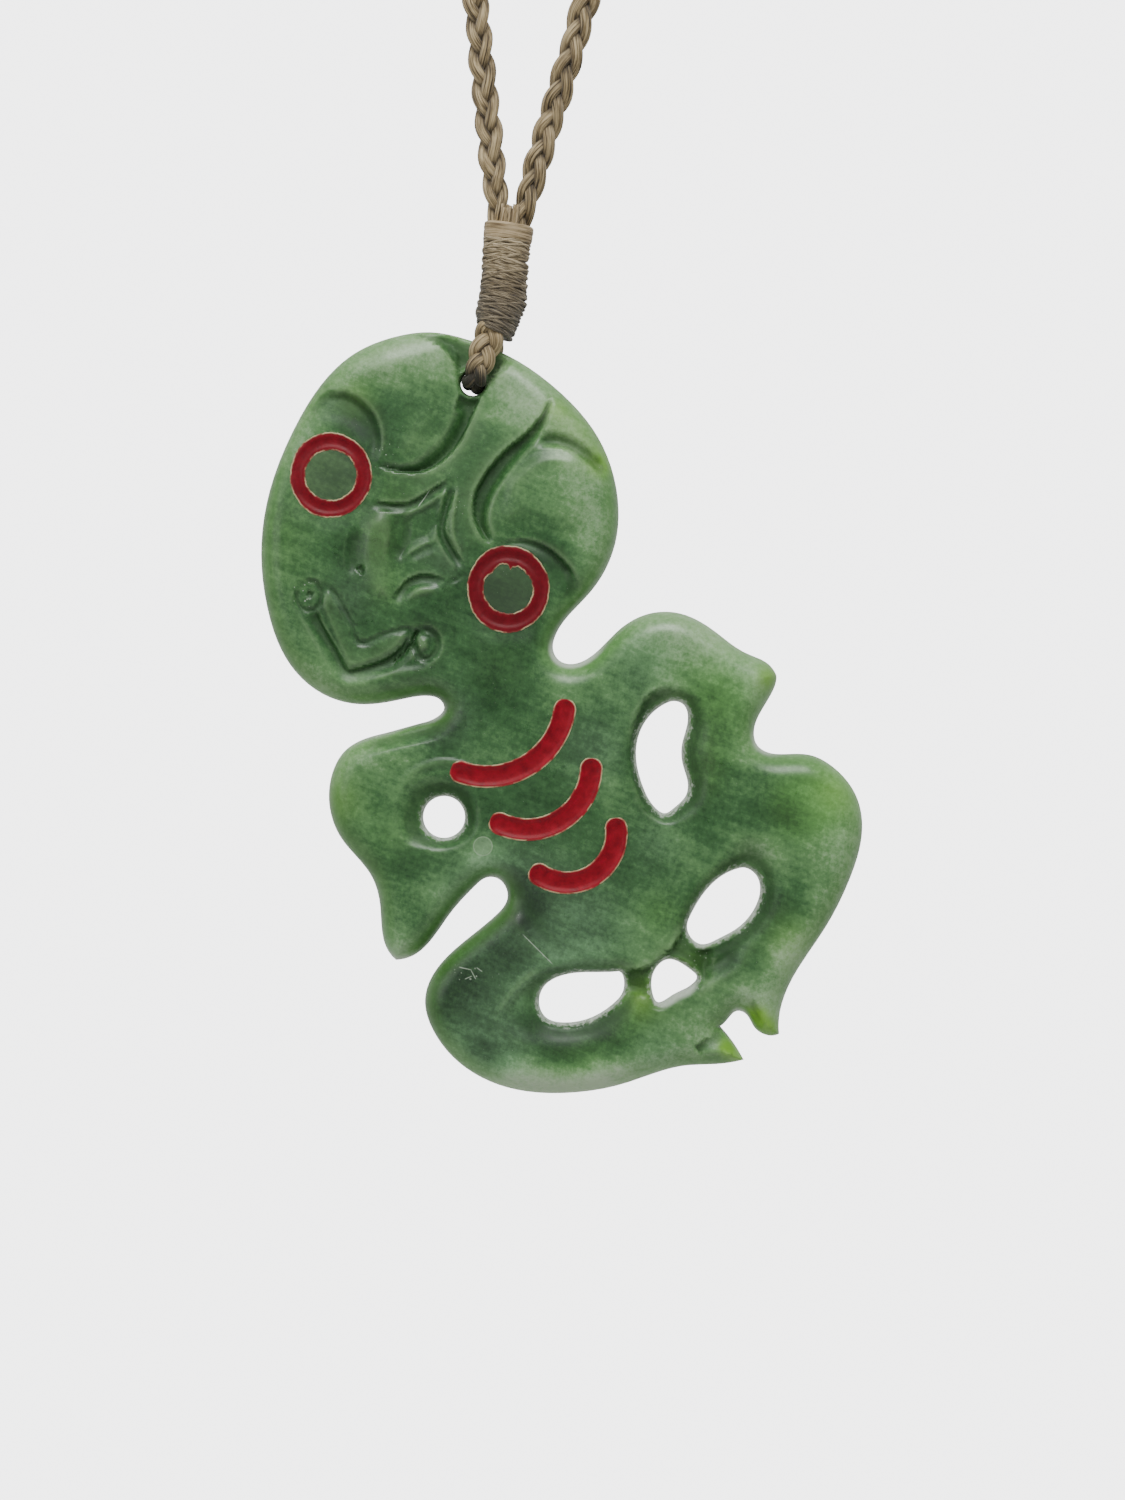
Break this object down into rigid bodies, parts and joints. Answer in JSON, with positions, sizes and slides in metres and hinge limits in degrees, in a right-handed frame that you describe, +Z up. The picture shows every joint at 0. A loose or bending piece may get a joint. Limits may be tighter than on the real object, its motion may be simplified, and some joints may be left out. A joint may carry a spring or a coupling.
{
  "type": "greenstone hei tiki pendant on a plaited neck cord",
  "caption": "Carved flat stone figure with red wax ring eyes and a waxed chest design, hanging from a plaited fibre neck cord bound above it with a thread whipping.",
  "frame": {"origin": "on the neck cord's centre line, at the middle of the stretch that lies on the nape of the neck", "axes": "+Z up as worn, +Y from the pendant towards the nape, +X to the viewer's right"},
  "size_m": [0.1064, 0.1179, 0.3186],
  "materials": {
    "greenstone": "polished nephrite, mottled green",
    "red_wax": "glossy red sealing wax",
    "flax_plait": "plaited plant fibre",
    "whipping_thread": "waxed wound thread"
  },
  "bodies": {
    "cord": {"neck_cord": "flax_plait", "whipping": "whipping_thread", "hanging_loop": "flax_plait"},
    "pendant": {"tiki_stone": "greenstone", "eye_ring_left": "red_wax", "eye_ring_right": "red_wax", "chest_rib_1": "red_wax", "chest_rib_2": "red_wax", "chest_rib_3": "red_wax"}
  },
  "joints": [
    {"name": "pendant_swing", "type": "hinge", "parent": "cord", "child": "pendant", "pos_m": [-0.019, -0.112, -0.232], "axis": [0, 1, 0], "range_deg": [-20, 20]}
  ]
}
